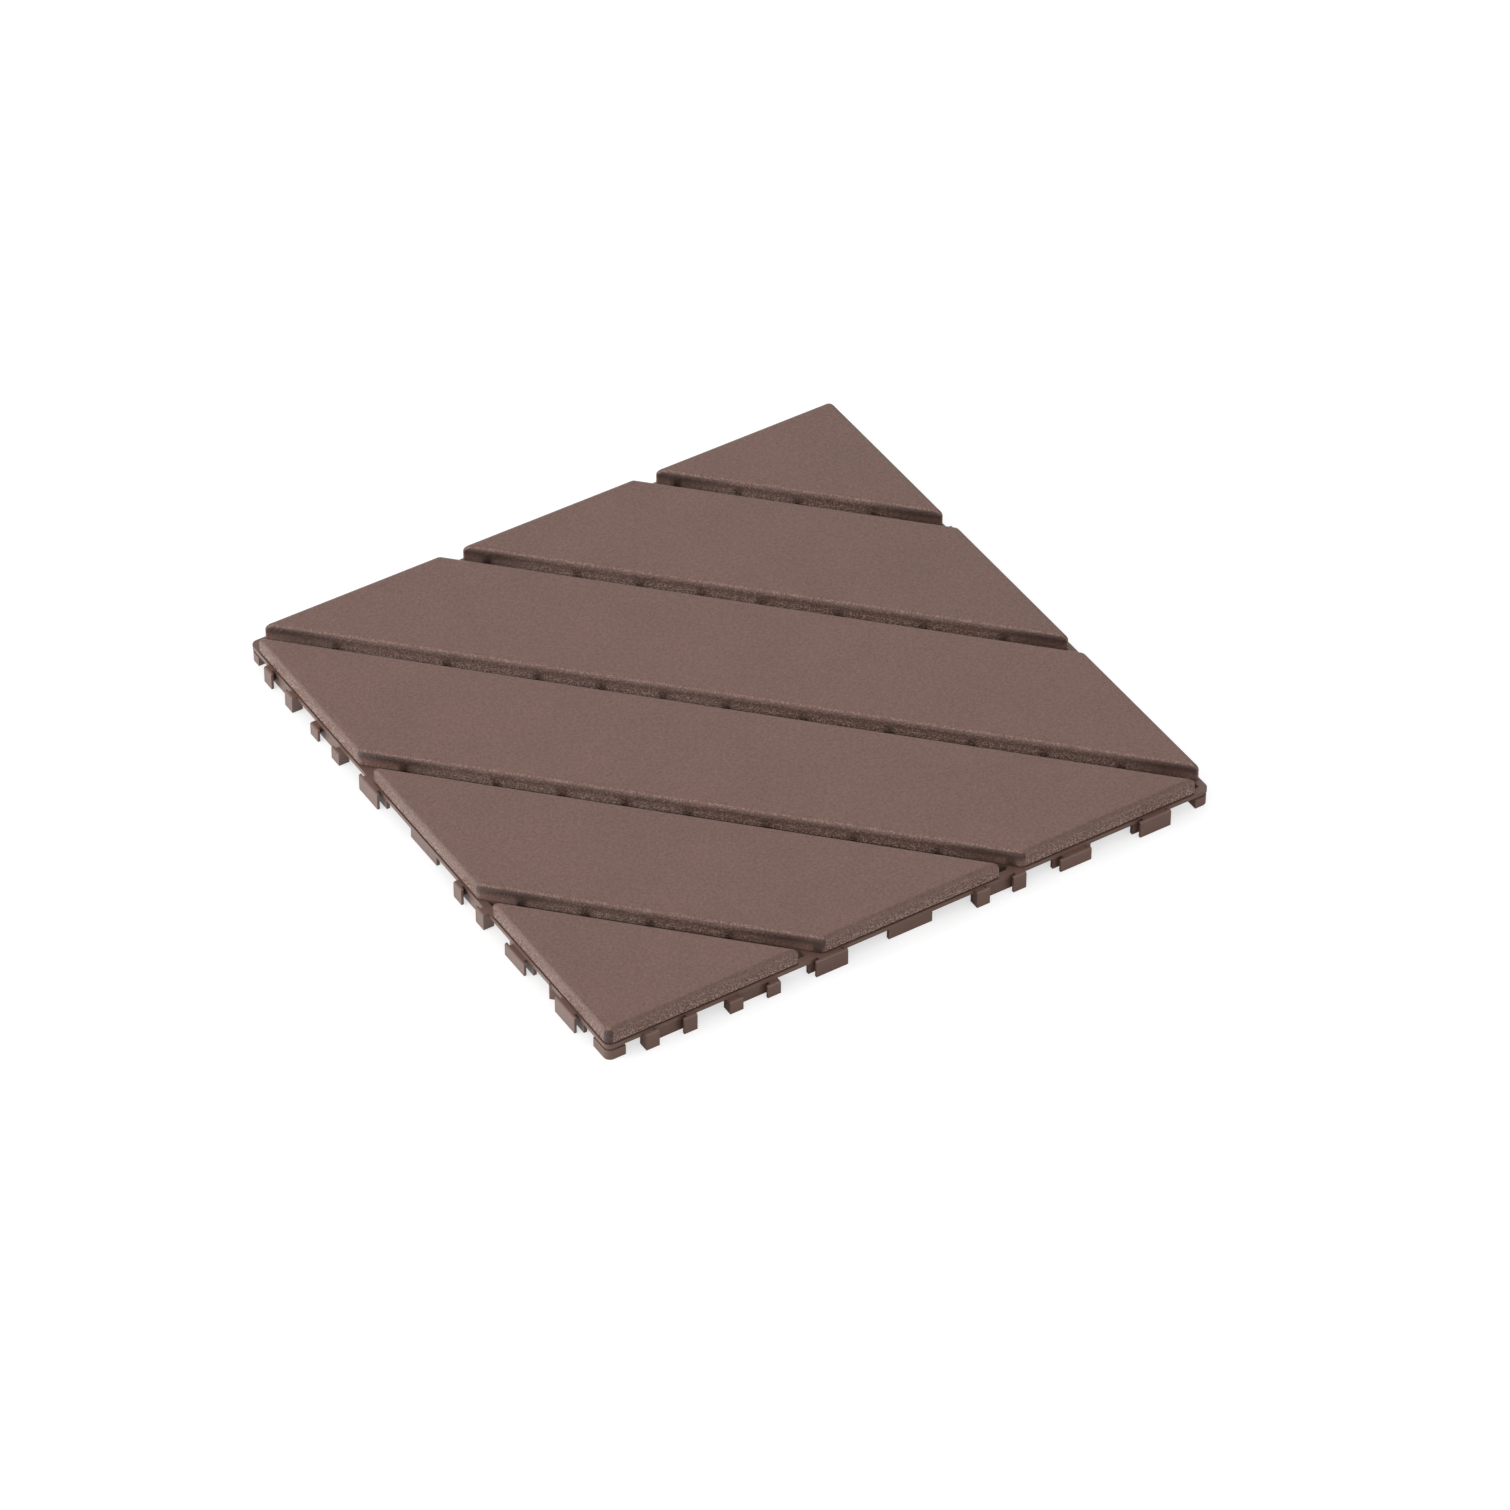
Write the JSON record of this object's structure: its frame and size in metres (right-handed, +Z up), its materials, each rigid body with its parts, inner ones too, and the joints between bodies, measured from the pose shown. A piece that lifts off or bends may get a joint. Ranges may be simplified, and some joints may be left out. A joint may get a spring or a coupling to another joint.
{
  "type": "interlocking diagonal-slat deck tile",
  "caption": "Square snap-together outdoor deck tile in brown plastic, with grained diagonal slats on an open moulded grid and hooks along every side.",
  "frame": {"origin": "on the ground, below the middle of the tile", "axes": "+Z up out of the slats, X and Y along the sides, the near corner of the picture at -X -Y"},
  "size_m": [0.3052, 0.3052, 0.0166],
  "materials": {
    "base_plastic": "smooth moulded, faint sheen",
    "slat_plastic": "fine pebbled grain"
  },
  "bodies": {
    "root": {"base_grid": "base_plastic", "slat_1": "slat_plastic", "slat_2": "slat_plastic", "slat_3": "slat_plastic", "slat_4": "slat_plastic", "slat_5": "slat_plastic", "slat_6": "slat_plastic"}
  },
  "joints": []
}
